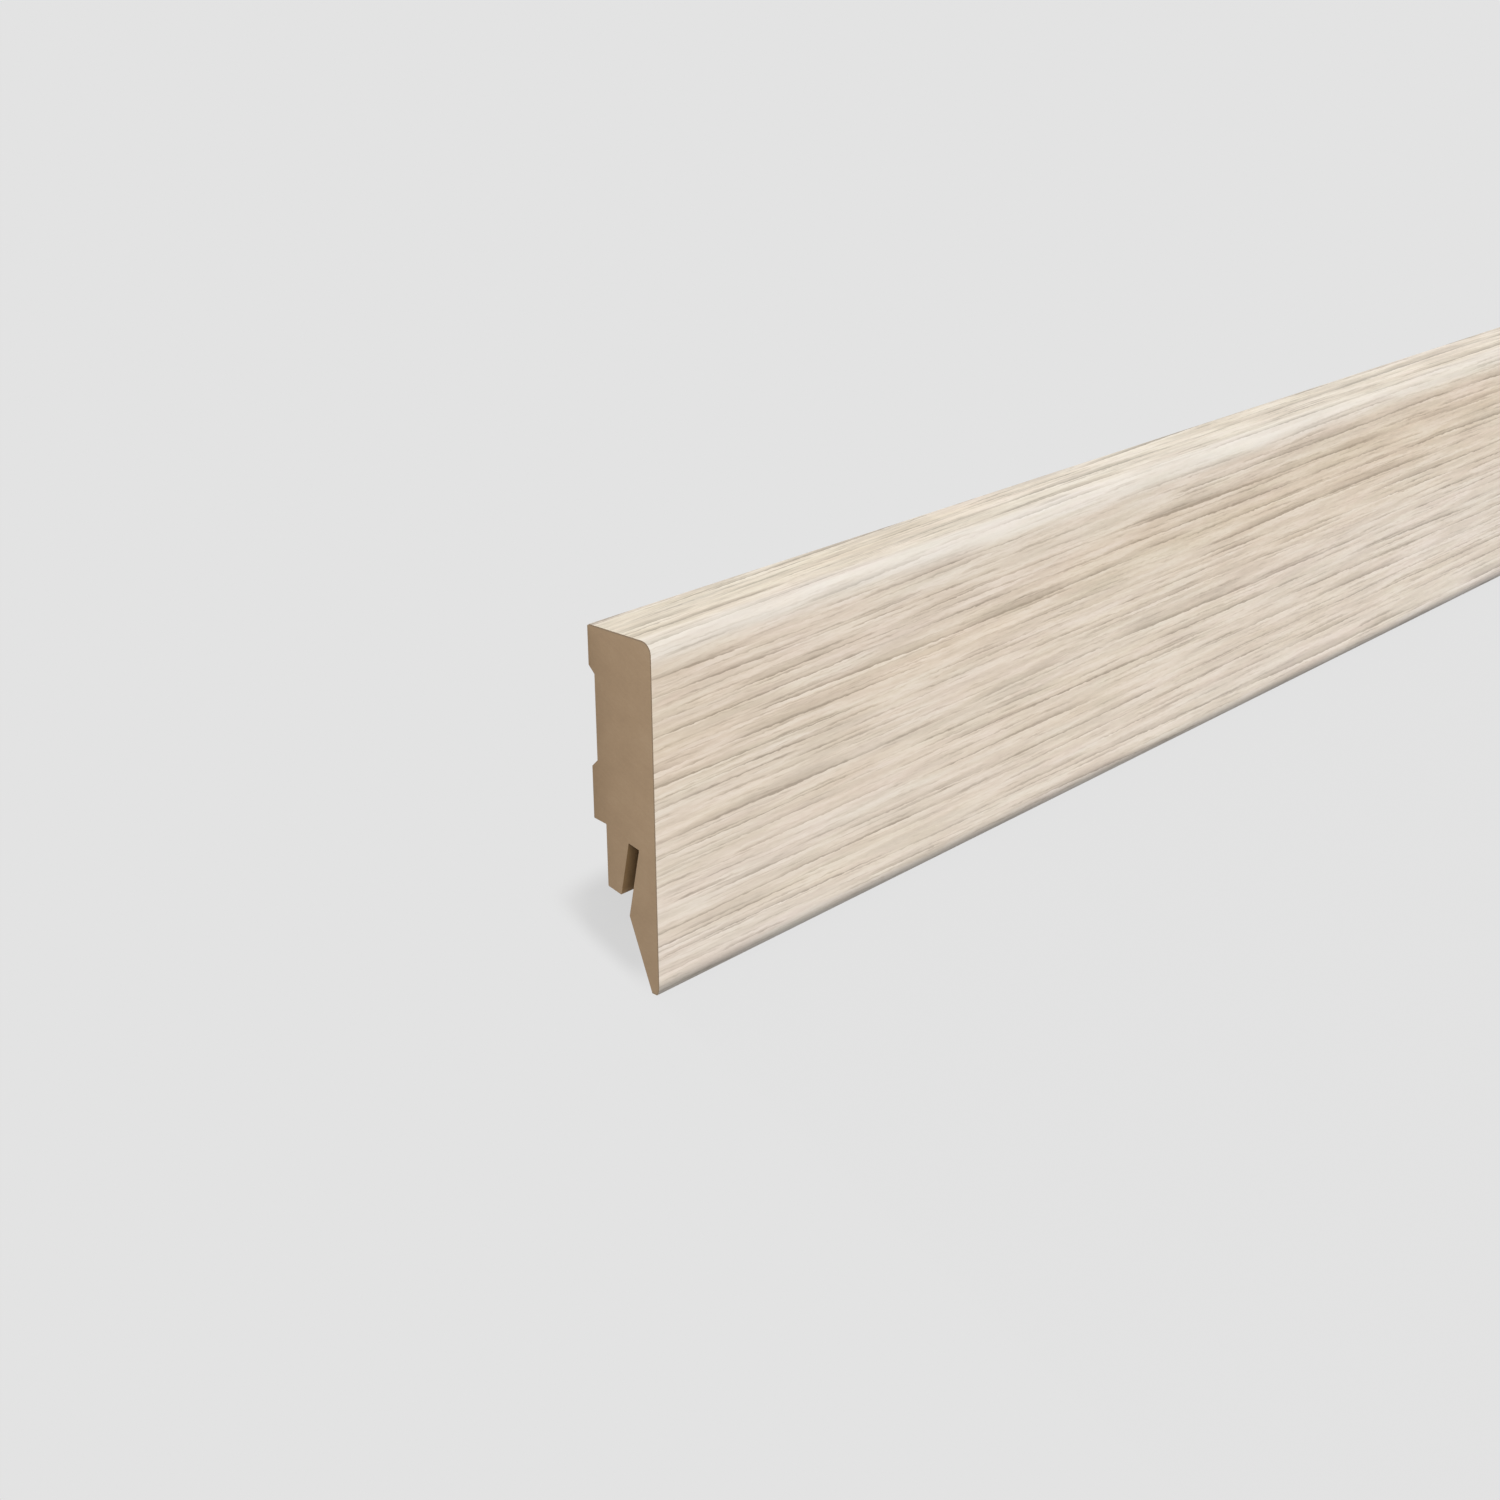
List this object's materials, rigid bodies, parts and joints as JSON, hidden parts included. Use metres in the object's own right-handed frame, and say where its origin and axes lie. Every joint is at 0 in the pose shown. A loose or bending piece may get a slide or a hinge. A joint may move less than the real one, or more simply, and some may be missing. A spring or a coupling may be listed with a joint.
{
  "type": "skirting board length",
  "caption": "Straight length of foil-wrapped fibreboard skirting with a rounded top edge, a relieved back and an angled clip slot in the cut section.",
  "frame": {"origin": "on the wall plane, at the middle of the length and at the middle of the 60 mm height", "axes": "+X along the length, away from the cut end that the picture shows; +Y from the bottom edge to the rounded top edge; +Z out of the wood-grain face. The board lies on its two back lands, face up."},
  "size_m": [2.4, 0.06, 0.014],
  "materials": {
    "mdf": "matte",
    "decor_foil": "satin"
  },
  "bodies": {
    "root": {"mdf_core": "mdf", "decor_foil": "decor_foil"}
  },
  "joints": []
}
